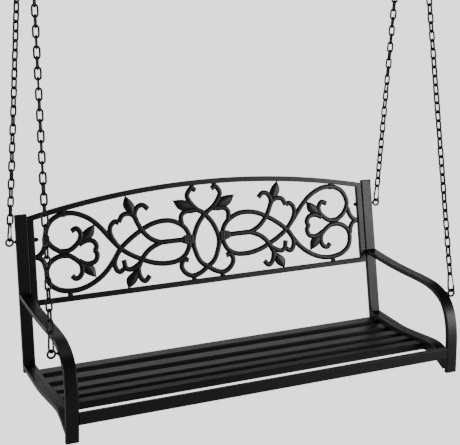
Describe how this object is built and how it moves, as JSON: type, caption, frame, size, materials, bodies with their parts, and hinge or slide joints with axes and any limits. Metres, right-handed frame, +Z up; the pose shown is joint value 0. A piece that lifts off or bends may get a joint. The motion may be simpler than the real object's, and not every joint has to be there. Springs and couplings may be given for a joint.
{
  "type": "porch swing",
  "caption": "Steel porch swing bench with a slatted seat, an arched back with cast scrollwork and curved arms, hung on chains with snap hooks from ceiling plates.",
  "frame": {"origin": "middle of the swing axis, the line through both ceiling eyes, above the middle of the bench", "axes": "+X along the swing axis, to the right as seen from in front; -Y the way the seat faces; +Z up"},
  "size_m": [1.3722, 0.558, 1.8708],
  "materials": {
    "frame": "satin powder coat",
    "casting": "black powder coat",
    "hardware": "black plated",
    "plastic": "matte"
  },
  "bodies": {
    "hangers": {"ceiling_eye_left": "hardware", "ceiling_eye_right": "hardware", "ceiling_plate_left": "hardware", "ceiling_plate_right": "hardware"},
    "bench": {"arm_and_leg_left": "frame", "arm_and_leg_right": "frame", "back_bottom_bar": "frame", "back_side_bar_left": "frame", "back_side_bar_right": "frame", "back_top_bar": "frame", "cap_nut_left": "hardware", "cap_nut_right": "hardware", "chain_front_left": "hardware", "chain_front_right": "hardware", "chain_rear_left": "hardware", "chain_rear_right": "hardware", "corner_bolt_left": "hardware", "corner_bolt_right": "hardware", "eye_bolt_front_left": "hardware", "eye_bolt_front_right": "hardware", "eye_bolt_rear_left": "hardware", "eye_bolt_rear_right": "hardware", "front_rail": "frame", "leg_foot_cap_left": "plastic", "leg_foot_cap_right": "plastic", "post_foot_cap_left": "plastic", "post_foot_cap_right": "plastic", "post_top_cap_left": "plastic", "post_top_cap_right": "plastic", "rear_post_left": "frame", "rear_post_right": "frame", "scroll_centre": "casting", "scroll_left": "casting", "scroll_right": "casting", "seat_end_bar_left": "frame", "seat_end_bar_right": "frame", "seat_rail_left": "frame", "seat_rail_right": "frame", "seat_slat_1": "frame", "seat_slat_2": "frame", "seat_slat_3": "frame", "seat_slat_4": "frame", "seat_slat_5": "frame", "sleeve_nut_left": "hardware", "sleeve_nut_right": "hardware", "snap_hook_front_left": "hardware", "snap_hook_front_right": "hardware", "snap_hook_rear_left": "hardware", "snap_hook_rear_right": "hardware", "top_ring_left": "hardware", "top_ring_right": "hardware"},
    "gate_front_left": {"hook_gate_front_left": "hardware"},
    "gate_front_right": {"hook_gate_front_right": "hardware"},
    "gate_rear_left": {"hook_gate_rear_left": "hardware"},
    "gate_rear_right": {"hook_gate_rear_right": "hardware"}
  },
  "joints": [
    {"name": "swing", "type": "hinge", "parent": "hangers", "child": "bench", "pos_m": [0, 0, 0], "axis": [1, 0, 0], "range_deg": [-25, 25]},
    {"name": "gate_front_left", "type": "hinge", "parent": "bench", "child": "gate_front_left", "pos_m": [-0.65299, -0.24031, -1.54855], "axis": [0.9113, 0.4057, -0.0705], "range_deg": [0, 25], "stiffness_Nm_per_rad": 0.02},
    {"name": "gate_front_right", "type": "hinge", "parent": "bench", "child": "gate_front_right", "pos_m": [0.65849, -0.2403, -1.54849], "axis": [0.9123, 0.4062, -0.0532], "range_deg": [0, 25], "stiffness_Nm_per_rad": 0.02},
    {"name": "gate_rear_left", "type": "hinge", "parent": "bench", "child": "gate_rear_left", "pos_m": [-0.65405, 0.20575, -1.35117], "axis": [0.9699, 0.2418, 0.0278], "range_deg": [0, 25], "stiffness_Nm_per_rad": 0.02},
    {"name": "gate_rear_right", "type": "hinge", "parent": "bench", "child": "gate_rear_right", "pos_m": [0.65733, 0.20575, -1.35113], "axis": [0.9691, 0.2416, 0.0489], "range_deg": [0, 25], "stiffness_Nm_per_rad": 0.02}
  ]
}
